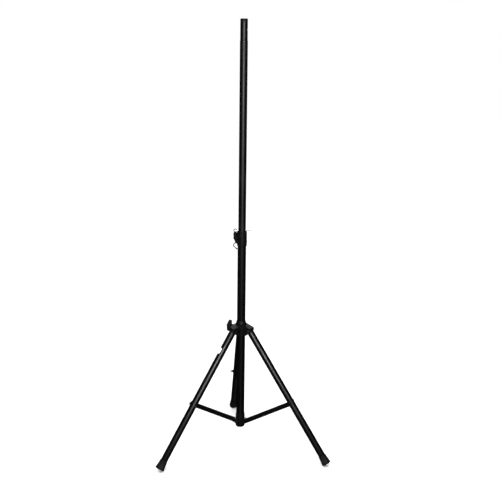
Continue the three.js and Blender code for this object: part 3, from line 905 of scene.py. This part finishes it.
def make_clamp():
    bottom, top = heights("clamp_body")
    seat = tube_radius("lower_tube") + SLEEVE_GAP
    lip = tube_radius("mast_tube") + 0.8
    shoulder = heights("lower_tube")[1] + 4
    bead = bottom + CLAMP_BEAD_RISE
    sleeve = turned([
        (seat, bottom), (CLAMP_RADIUS - 1.6, bottom, 0.6), (CLAMP_RADIUS, bottom + 4, 2),
        (CLAMP_RADIUS, bead - 4, 0.8), (CLAMP_BEAD, bead - 2, 1), (CLAMP_BEAD, bead + 2, 1),
        (CLAMP_RADIUS, bead + 4, 0.8), (CLAMP_RADIUS, top - 12, 0.3),
        (CLAMP_RADIUS - 0.6, top - 11.4, 0.3), (CLAMP_RADIUS - 0.6, top - 9.6, 0.3),
        (CLAMP_RADIUS, top - 9, 0.3), (CLAMP_RADIUS, top - 1.5, 1), (CLAMP_RADIUS - 1.5, top, 0.8),
        (lip, top), (lip, shoulder), (seat, shoulder),
    ], 0.4, 96)
    knob_height = middle("clamp_knob_stud").z / MM
    knob_frame = Matrix.Rotation(CLAMP_AZIMUTH, 4, "Z")
    knob_frame.translation = (0, 0, knob_height)
    boss = turned_by(flared_boss(10.5, 13.2, seat + 0.5, 24.0, CLAMP_BOSS_END), knob_frame)
    ribs = []
    for way in (1, -1):
        outline = softened([(seat + 0.6, 8), (29, 8), (24.4, 21), (seat + 0.6, 21)], 1.2, True)
        rib = layered(cushioned(outline, -1.6, 1.6, 0.6), sideways)
        if way < 0:
            turned_by(rib, Matrix.Rotation(math.pi, 4, "X"))
        ribs.append(turned_by(rib, knob_frame))
    bore = turned_by(rod_along(ALONG_X, BOLT_HOLE_RADIUS, 10, CLAMP_BOSS_END + 1, 0.1), knob_frame)
    body = carved(sleeve, [add(boss), add(ribs[0]), add(ribs[1]), cut(bore)])
    piece("clamp_sleeve", body, upright, "stand", "black_plastic", "clamp_body", weighted=True)

    tip = tube_radius("mast_tube") + 0.4
    make_screw("clamp", CLAMP_AZIMUTH, knob_height, CLAMP_BOSS_END, CLAMP_KNOB_REACH, CLAMP_KNOB_TURN, tip)


# ---- the locking pin, its ring and its lanyard ----

PIN_TIP = 41.5
PIN_HEAD = -29.5
RING_HOLE = -26.0
RING_RADIUS = 7.3
WIRE_RADIUS = 1.3
SLEEVE_RADIUS = 1.9
BARE_ANGLE = 0.9  # of the ring's wire, on either side of the pin
LANYARD_RADIUS = 2.25
FERRULE_LENGTH = 7.0
FERRULE_RADIUS = 3.0


def make_pin():
    low, high = heights("locking_pin")
    radius = (high - low) / 2
    shaft = turned([
        (0, PIN_HEAD), (radius - 0.8, PIN_HEAD), (radius, PIN_HEAD + 0.8), (radius, RING_HOLE + 3.4, 0.1),
        (radius - 0.35, RING_HOLE + 3.8, 0.1), (radius - 0.35, RING_HOLE + 4.6, 0.1),
        (radius, RING_HOLE + 5, 0.1), (radius, PIN_TIP - 6.4, 0.1), (radius - 0.4, PIN_TIP - 6, 0.1),
        (radius - 0.4, PIN_TIP - 5, 0.1), (radius, PIN_TIP - 4.6, 0.1), (radius, PIN_TIP - 3),
        (radius - 1.4, PIN_TIP, 0.8), (0, PIN_TIP),
    ], 0.4, 40)
    hole = shifted(rod(WIRE_RADIUS + 0.8, -10, 10, 0.1, 24), x=RING_HOLE)
    place = Matrix.Translation(Vector((pole.x, pole.y, middle("locking_pin").z)))
    shaft = carved(turned_by(shaft, ALONG_X), [cut(hole)])
    piece("lock_pin", shaft, place, "pin", "zinc_steel", "locking_pin")

    # the ring: a loop of wire in a ribbed sleeve, bare where it passes the pin
    path, radii = [], []
    for k in range(120):
        turn = 2 * math.pi * k / 120
        past = min(turn, 2 * math.pi - turn) - BARE_ANGLE  # how far into the sleeve
        share = min(max(past / 0.1, 0.0), 1.0)
        rib = 0.09 * math.sin(turn * 40) if past > 0.25 else 0.0
        path.append(Vector((RING_RADIUS * math.cos(turn), 0, RING_RADIUS * math.sin(turn))))
        radii.append(WIRE_RADIUS + (SLEEVE_RADIUS - WIRE_RADIUS) * math.sin(share * math.pi / 2) - abs(rib))
    place = Matrix.Translation(Vector(joints["ring_swing"]["pos_m"]) - Vector((RING_RADIUS * MM, 0, 0)))
    piece("pull_loop", swept(path, radii, 16, closed=True), place, "ring", "lanyard_plastic", "pull_ring")


ANCHOR_AZIMUTH = math.radians(215)
ANCHOR_HEIGHT = 1070  # on the scale of the route below
LANYARD_ROUTE = [
    (-33.5, 0.5, 1152), (-37, 5, 1143), (-36.5, 9, 1126), (-31, 9, 1104), (-35.5, 5, 1096.5),
    (-42, 1, 1089), (-36, -5, 1080.5), (-28, -11.5, 1074.5), (-22.6, -15, 1071.4),
]


def ferrule(path, index):
    """A crimped sleeve on the lanyard, with two pressed bands."""
    along = (path[index + 1] - path[index - 1]).normalized()
    half, radius = FERRULE_LENGTH / 2, FERRULE_RADIUS
    sleeve = turned([
        (0, -half), (radius, -half, 0.5), (radius, -1.9), (radius - 0.35, -1.6), (radius - 0.35, -0.6),
        (radius, -0.3), (radius, 0.3), (radius - 0.35, 0.6), (radius - 0.35, 1.6), (radius, 1.9),
        (radius, half, 0.5), (0, half),
    ], 0.15, 24)
    turn = along.to_track_quat("Z", "Y").to_matrix().to_4x4()
    return turned_by(sleeve, Matrix.Translation(path[index]) @ turn)


def make_lanyard():
    """The lanyard in three stretches, labelled ring to pin, pin to mast and mast to stand; none of them is
    attached to a body.
    """
    lift = middle("lanyard_screw").z / MM - ANCHOR_HEIGHT
    path = smooth_path([Vector(point) + Vector((0, 0, lift)) for point in LANYARD_ROUTE])
    place = Matrix.Translation(pole)
    stretches = [
        ("lanyard_top", path[0:11], "ring", "pin"),
        ("lanyard_upper", path[10:34], "pin", "mast"),
        ("lanyard_lower", path[33:], "mast", "stand"),
    ]
    for name, points, first, second in stretches:
        cord = swept(points, LANYARD_RADIUS, 14)
        if name == "lanyard_top":
            cord = merged(cord, ferrule(path, 5))
        if name == "lanyard_lower":
            cord = merged(cord, ferrule(path, len(path) - 8))
        thing = piece(name, cord, place, None, "lanyard_plastic", "pin_lanyard")
        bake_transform(thing)

    # the eye round the ring's wire, and the screw that holds the other end
    eye = [path[0] + Vector((0.5 * s, 3.4 * s, 3.3 + 4.0 * c)) for c, s in circle(24)]
    eye = swept(eye, 1.0, 10, closed=True)
    piece("lanyard_ring_eye", eye, place, "ring", "lanyard_plastic", "pin_lanyard")

    out = Matrix.Rotation(ANCHOR_AZIMUTH, 4, "Z")
    seat = tube_radius("lower_tube") + 0.4
    screw_frame = Matrix.Translation(Vector((pole.x, pole.y, middle("lanyard_screw").z))) @ out
    screw = turned([(0, 0.6), (4.2, 0.6), (4.2, 1.5), (3.5, 2.6, 1), (1.5, 3.1, 1), (0, 3.1)], 0.3, 40)
    bars = [rod_along(ALONG_Y, 0.45, -1.8, 1.8, 0.1, 12), rod(0.45, -1.8, 1.8, 0.1, 12)]
    cross = [shifted(turned_by(bar, Matrix.Scale(3.2, 4, (1, 0, 0))), x=3.3) for bar in bars]
    shank = rod(1.9, 0, 1, 0.1, 24)
    body = carved(turned_by(merged(screw, shank), ALONG_X), [cut(cross[0]), cut(cross[1])])
    fastener("lanyard_pan_screw", shifted(body, x=seat), screw_frame, "stand", "lanyard_screw")


# ---- the hub ----

HUB_RADIUS = 26
HUB_BORE = 21.25
HUB_AZIMUTH = math.radians(150)
HUB_BOSS_END = 40
HUB_KNOB_REACH = 37
HUB_KNOB_TURN = 0.45  # radians, fitted to the photograph
ARM_HALF_WIDTH = 22
ARM_REACH = 62.8
ARM_SLOPE = 0.4
ARM_SHOULDER_OUT = 33  # from the pole's axis to a point on the arms' top face
ARM_SHOULDER_UP = 25.5  # that point's height above the pivot
ARM_WALL = 3.2
POCKET_HALF_WIDTH = 17.9
POCKET_START = 27.5
PIVOT_OUT = 47


def arm_top(distance, lowered=0.0):
    """Height of an arm's top face above its pivot."""
    return ARM_SHOULDER_UP - ARM_SLOPE * (distance - ARM_SHOULDER_OUT) - lowered


def make_hub():
    bottom, top = heights("hub_body")
    pivot = joints["leg_1_fold"]["pos_m"][2] / MM
    foot = bottom - pivot
    crown = top - pivot
    sleeve = turned([
        (HUB_BORE, foot), (HUB_RADIUS - 1.2, foot, 0.6), (HUB_RADIUS, foot + 2, 1),
        (HUB_RADIUS, crown - 13, 2), (HUB_RADIUS - 1, crown - 9, 2), (HUB_BORE + 1.2, crown, 0.5),
        (HUB_BORE, crown),
    ], 0.4, 96)
    outline = softened([
        (15, arm_top(15)), (ARM_REACH - 3, arm_top(ARM_REACH - 3), 3.5),
        (ARM_REACH, arm_top(ARM_REACH) - 3, 3), (ARM_REACH - 1.5, -3, 4), (44, -18, 6), (30, foot + 3, 3),
        (15, foot + 3),
    ], 0, True, 4)
    pocket = softened([
        (POCKET_START, arm_top(POCKET_START, ARM_WALL)), (80, arm_top(80, ARM_WALL)), (80, foot - 20),
        (POCKET_START, foot - 20),
    ], 2.0, True, 4)
    panel = vectors(
        (31, arm_top(31, 4)), (ARM_REACH - 5, arm_top(ARM_REACH - 5, 4)), (ARM_REACH - 4.6, -2),
        (43, -13.5), (31, foot + 8),
    )
    panels = [softened(inset(panel, grow), 3, True, 4) for grow in (0, -0.6)]
    steps = []
    cuts = []
    for n in LEGS:
        turn = leg_turn(n)
        arm = layered(cushioned(outline, -ARM_HALF_WIDTH, ARM_HALF_WIDTH, 2.4), sideways)
        steps.append(add(turned_by(arm, turn)))
        hollow = layered(cushioned(pocket, -POCKET_HALF_WIDTH, POCKET_HALF_WIDTH, 1.0), sideways)
        cuts.append(cut(turned_by(hollow, turn)))
        for way in (1, -1):
            edge = way * (ARM_HALF_WIDTH - 0.9)
            shallow = layered([(panels[0], edge), (panels[1], way * (ARM_HALF_WIDTH + 2))], sideways)
            ring = rod_along(ALONG_Y, 9.6, -30, 30, 0.1, 48)
            shallow = carved(shallow, [cut(shifted(ring, x=PIVOT_OUT))])
            cuts.append(cut(turned_by(shallow, turn)))
        bolt_hole = shifted(rod_along(ALONG_Y, BOLT_HOLE_RADIUS, -40, 40, 0.1), x=PIVOT_OUT)
        cuts.append(cut(turned_by(bolt_hole, turn)))
    knob_height = middle("hub_knob_stud").z / MM
    knob_frame = Matrix.Rotation(HUB_AZIMUTH, 4, "Z")
    knob_frame.translation = (0, 0, knob_height - pivot)
    boss = flared_boss(11, 14, HUB_BORE + 0.6, HUB_RADIUS - 0.5, HUB_BOSS_END)
    steps.append(add(turned_by(boss, knob_frame)))
    cuts.append(cut(turned_by(rod_along(ALONG_X, BOLT_HOLE_RADIUS, 10, HUB_BOSS_END + 1, 0.1), knob_frame)))
    cuts.append(cut(rod(HUB_BORE, foot - 10, crown + 10, 0.1, 96)))
    place = Matrix.Translation(pole + Vector((0, 0, pivot * MM)))
    whole = carved(sleeve, steps + cuts)
    piece("hub_moulding", whole, place, "hub", "black_plastic", "hub_body", weighted=True)

    tip = tube_radius("lower_tube") + 0.4
    make_screw("hub", HUB_AZIMUTH, knob_height, HUB_BOSS_END, HUB_KNOB_REACH, HUB_KNOB_TURN, tip)

    for n in LEGS:
        seat = ARM_HALF_WIDTH + 0.3
        side_frame = Matrix.Translation(leg_frames[n].translation) @ leg_turn(n)
        whole = turned_by(bolt(2 * seat + 5.5, 2 * seat + 7.9), ALONG_Y)
        fastener(f"hub_hex_bolt_{n}", shifted(whole, y=-seat), side_frame, "hub", f"hub_bolt_{n}")
        nut = turned_by(lock_nut(6.5), ALONG_Y)
        fastener(f"hub_lock_nut_{n}", shifted(nut, y=seat), side_frame, "hub", f"hub_nut_{n}")


# ---- the lower collar ----

COLLAR_RADIUS = 23.2
COLLAR_BORE = 17
LUG_RADIUS = 12.5
LUG_WAIST = 10.6
LUG_NEAR = -17.3
LUG_FAR = 9.0
COLLAR_PIVOT_OUT = 28


def make_collar():
    bottom, top = heights("lower_collar")
    pivot = joints["brace_1_fold"]["pos_m"][2] / MM
    seat = tube_radius("lower_tube") + SLEEVE_GAP
    ledge = heights("lower_tube")[0] - SLEEVE_GAP
    sleeve = turned([
        (COLLAR_BORE, bottom), (COLLAR_RADIUS, bottom, 0.8), (COLLAR_RADIUS, top - 7, 3),
        (COLLAR_RADIUS - 0.9, top, 0.6), (seat, top), (seat, ledge), (COLLAR_BORE, ledge),
    ], 0.4, 96)
    steps, cuts = [], []
    # a lug is a waisted barrel on a web
    barrel = [
        (0, LUG_NEAR), (LUG_RADIUS, LUG_NEAR, 1), (LUG_RADIUS, LUG_NEAR + 3.5, 0.6),
        (LUG_WAIST, LUG_NEAR + 5.5, 1.5), (LUG_WAIST, LUG_FAR - 5.5, 1.5),
        (LUG_RADIUS, LUG_FAR - 3.5, 0.6), (LUG_RADIUS, LUG_FAR, 1), (0, LUG_FAR),
    ]
    web = vectors(
        (12, LUG_WAIST), (12, -LUG_WAIST), (COLLAR_PIVOT_OUT, -LUG_WAIST), (COLLAR_PIVOT_OUT, LUG_WAIST),
    )
    for n in LEGS:
        turn = leg_turn(n)
        turn.translation = (0, 0, pivot)
        lug = shifted(turned_by(turned(barrel, 0.5, 48), ALONG_Y), x=COLLAR_PIVOT_OUT)
        steps.append(add(turned_by(lug, turn)))
        plate = layered(cushioned(web, LUG_NEAR + 0.4, LUG_FAR - 0.4, 1.0), sideways)
        steps.append(add(turned_by(plate, turn)))
        hole = shifted(rod_along(ALONG_Y, BOLT_HOLE_RADIUS, -40, 40, 0.1), x=COLLAR_PIVOT_OUT)
        cuts.append(cut(turned_by(hole, turn)))
    cuts.append(cut(rod(seat, ledge, top + 10, 0.1, 96)))
    cuts.append(cut(rod(COLLAR_BORE, bottom - 10, top, 0.1, 96)))
    whole = carved(sleeve, steps + cuts)
    piece("lower_collar_moulding", whole, upright, "stand", "black_plastic", "lower_collar", weighted=True)

    low, high = heights("end_cap")
    rim = high - 9.3
    cap = turned([
        (0, low + 0.8), (6, low + 0.8, 0.2), (6.4, low, 0.3), (17.6, low, 1), (20.9, low + 1.4, 1.5),
        (22, low + 4), (22, rim - 0.3), (16.7, rim - 0.3), (16.7, high), (0, high),
    ], 0.4, 96)
    piece("pole_end_cap", cap, upright, "stand", "black_plastic", "end_cap")


# ---- legs and struts ----

FOOT_RADIUS = 23.5
FOOT_LIP = 19.3
FOOT_LENGTH = 45
LEG_RADIUS = 17.25
LEG_STEM = 14
STRUT_HALF_HEIGHT = 12.0
STRUT_WEB = 2.0


def leg_length(n):
    """From the hub pivot to the middle of the foot's sole: the foot's rim touches the floor at 0."""
    along = leg_frames[n].col[2].to_3d()
    drop = -along.z
    rim = FOOT_RADIUS * math.hypot(along.x, along.y)
    return (leg_frames[n].translation.z / MM - rim) / drop


def make_leg(n):
    matrix = leg_frames[n] @ Matrix.Rotation(math.pi, 4, "Y")  # Z now points up the leg
    body = f"leg_{n}"
    brace = reach(leg_frames[n], f"brace_stud_{n}")
    length = leg_length(n)

    shape = tube(LEG_RADIUS, -length + 8, -LEG_STEM - 0.3, 80)
    piece(f"leg_{n}_tube", shape, matrix, body, "leg_paint", f"leg_tube_{n}")

    # the knuckle: a round plug with a rounded head, trimmed to the swing inside the hub
    stem = turned([
        (0, -LEG_STEM - 45), (LEG_RADIUS - TUBE_WALL - 0.3, -LEG_STEM - 45),
        (LEG_RADIUS - TUBE_WALL - 0.3, -LEG_STEM, 0.1), (LEG_RADIUS - 0.05, -LEG_STEM, 0.4),
        (LEG_RADIUS - 0.05, 20), (0, 20),
    ], 0.4, 64)
    head = [Vector((15 * math.cos(a), 15 * math.sin(a))) for a in (math.pi * k / 16 for k in range(17))]
    beside = LEG_RADIUS + 1
    head += vectors((-beside, -12), (-beside, -70), (beside, -70), (beside, -12))
    hole = rod_along(ALONG_Y, BOLT_HOLE_RADIUS, -40, 40, 0.1)
    knuckle = carved(stem, [("INTERSECT", layered([(head, -30), (head, 30)], sideways)), cut(hole)])
    piece(f"leg_{n}_knuckle", knuckle, matrix, body, "black_plastic", f"leg_knuckle_{n}", weighted=True)

    # the foot: a flared boot with a lip, three grooves and a ringed tread
    bottom = -length
    lip = bottom + FOOT_LENGTH
    wall = [(FOOT_RADIUS, bottom + 0.1, 2.6), (FOOT_RADIUS - 2.6, bottom + 22, 14)]
    for k in range(3):
        z = bottom + 27 + 3.6 * k
        radius = FOOT_RADIUS - 2.7 - 0.09 * (z - bottom - 22)
        wall += [
            (radius, z, 0.2), (radius - 0.7, z + 0.5, 0.2), (radius - 0.7, z + 1.2, 0.2),
            (radius - 0.1, z + 1.7, 0.2),
        ]
    wall += [(FOOT_LIP, lip - 5, 0.3), (FOOT_LIP + 0.35, lip - 4.2, 0.4), (FOOT_LIP, lip, 0.7)]
    wall.append((LEG_RADIUS + 0.3, lip))
    tread = []
    for radius in (4, 8.5, 13, 17.5):
        groove = ((0, 0), (0.3, 0.9), (1.5, 0.9), (1.8, 0))
        tread += [(radius + out, bottom + up, 0.2) for out, up in groove]
    foot = turned([(0, bottom), *tread, *wall, (LEG_RADIUS + 0.3, bottom + 7.5), (0, bottom + 7.5)], 0.3, 80)
    piece(f"leg_{n}_foot", foot, matrix, body, "foot_rubber", f"leg_foot_{n}")

    # the outer end of the strut's bolt, with its washer and nut
    washer = collar(4.1, 8.6, LEG_RADIUS + 0.3, LEG_RADIUS + 1.9, 0.4, 48)
    nut = shifted(lock_nut(6.6), z=LEG_RADIUS + 1.9)
    shank_end = LEG_RADIUS + 6
    thread = threaded(BOLT_RADIUS, shank_end, shank_end + 9.8)
    shank = merged(rod(BOLT_RADIUS, -LEG_RADIUS, shank_end), thread)
    stud = turned_by(merged(washer, nut, shank), ALONG_Y)
    fastener(f"brace_{n}_nut_end", shifted(stud, z=-brace), matrix, body, f"brace_stud_{n}")


def make_strut(n):
    frame_matrix = strut_frames[n]
    length = reach(frame_matrix, f"brace_bolt_{n}")
    # X along the strut, Y sideways with the strut's web at 0, Z across it
    near = (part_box("strut_1")[0].x - pole.x) / MM
    origin = frame_matrix.translation - frame_matrix.col[1].to_3d() * near * MM
    along, side = frame_matrix.col[2].to_3d(), frame_matrix.col[1].to_3d()
    matrix = axes_frame(origin, along, side, along.cross(side))
    rings = [
        (18, 7.6, -0.9), (17, 6.8, -0.1), (16, 6.0, 0), (0, 2.0, 0), (0, 0.9, -0.3), (0, 0.2, -1.0),
        (0, 0, -1.8), (0, 0, -4.9), (0, 0.25, -5.6), (0, 0.9, -6), (0, 1.5, -5.8), (0, 1.8, -5.2),
        (0, 1.9, -3.2), (0, 2.4, -2.3), (0, 3.4, -2), (16, 6.0, -2), (17, 6.8, -2.2), (18, 7.6, -2.9),
    ]
    high = STRUT_HALF_HEIGHT
    rings = [(capsule(short, length - short, high - step), depth) for short, step, depth in rings]
    shell = layered(rings, sideways)
    piece(f"strut_{n}_channel", shell, matrix, f"brace_{n}", "strut_paint", f"strut_{n}", sharp=50)

    head_side = -STRUT_WEB - 0.3
    outer_bolt = turned_by(bolt(0.6, 0), ALONG_Y)
    outer_bolt = shifted(outer_bolt, x=length, y=head_side)
    fastener(f"strut_{n}_bolt", outer_bolt, matrix, f"brace_{n}", f"brace_bolt_{n}")
    seat = -near + head_side
    collar_bolt = turned_by(bolt(LUG_FAR + 5 - seat, LUG_FAR + 7.9 - seat), ALONG_Y)
    collar_frame = Matrix.Translation(frame_matrix.translation) @ leg_turn(n)
    fastener(f"collar_{n}_bolt", shifted(collar_bolt, y=seat), collar_frame, "stand", f"collar_bolt_{n}")
    nut = turned_by(lock_nut(6), ALONG_Y)
    fastener(f"collar_{n}_nut", shifted(nut, y=LUG_FAR + 0.3), collar_frame, "stand", f"collar_nut_{n}")


# ---- the blank label ----

LABEL_LEG = 2
LABEL_TOP = -104
LABEL_BOTTOM = -134
LABEL_START = -1.05
LABEL_END = 0.42
LABEL_GAP = 0.08
LABEL_THICKNESS = 0.14
LABEL_PEEL = 0.35
LABEL_SQUEEZE = 0.10


def make_label():
    """A thin film with rounded corners, wrapped on the leg; one corner lifts a little."""
    bm = bmesh.new()
    across, down = 24, 24
    sheets = []
    for lift in (0.0, LABEL_THICKNESS):
        grid = []
        for i in range(across + 1):
            u = 2 * i / across - 1
            column = []
            for j in range(down + 1):
                v = 2 * j / down - 1
                # squeeze the square towards rounded corners
                su = u * (1 - LABEL_SQUEEZE * max(0.0, abs(v) - 0.8) / 0.2 * abs(u) ** 6)
                sv = v * (1 - LABEL_SQUEEZE * max(0.0, abs(u) - 0.8) / 0.2 * abs(v) ** 6)
                turn = LABEL_START + (LABEL_END - LABEL_START) * (su + 1) / 2
                peel = LABEL_PEEL * max(0.0, u * 0.5 + v * 0.5 - 0.8) / 0.2
                radius = LEG_RADIUS + LABEL_GAP + lift + peel
                height = LABEL_BOTTOM + (LABEL_TOP - LABEL_BOTTOM) * (sv + 1) / 2
                column.append(bm.verts.new((radius * math.cos(turn), radius * math.sin(turn), height)))
            grid.append(column)
        sheets.append(grid)
        for i in range(across):
            for j in range(down):
                bm.faces.new([grid[i][j], grid[i + 1][j], grid[i + 1][j + 1], grid[i][j + 1]])
    rims = []
    for grid in sheets:
        rim = [grid[i][0] for i in range(across)] + [grid[across][j] for j in range(down)]
        rim += [grid[i][down] for i in range(across, 0, -1)] + [grid[0][j] for j in range(down, 0, -1)]
        rims.append(rim)
    bridge(bm, rims[0], rims[1])
    bmesh.ops.recalc_face_normals(bm, faces=bm.faces)
    matrix = leg_frames[LABEL_LEG] @ Matrix.Rotation(math.pi, 4, "Y")
    piece("leg_film_label", bm, matrix, f"leg_{LABEL_LEG}", "label_paper", "leg_label")


# ---- the whole ----

add_camera()
make_lanyard()
make_lower_tube()
make_mast()
make_clamp()
make_pin()
make_hub()
make_collar()
for number in LEGS:
    make_leg(number)
    make_strut(number)
make_label()
for hidden in ("mast_guide_plug", "mast_liner"):
    materials = frame["nodes"][hidden].data.materials
    materials.clear()
    materials.append(SLOTS["grey_nylon"])
add_studio()
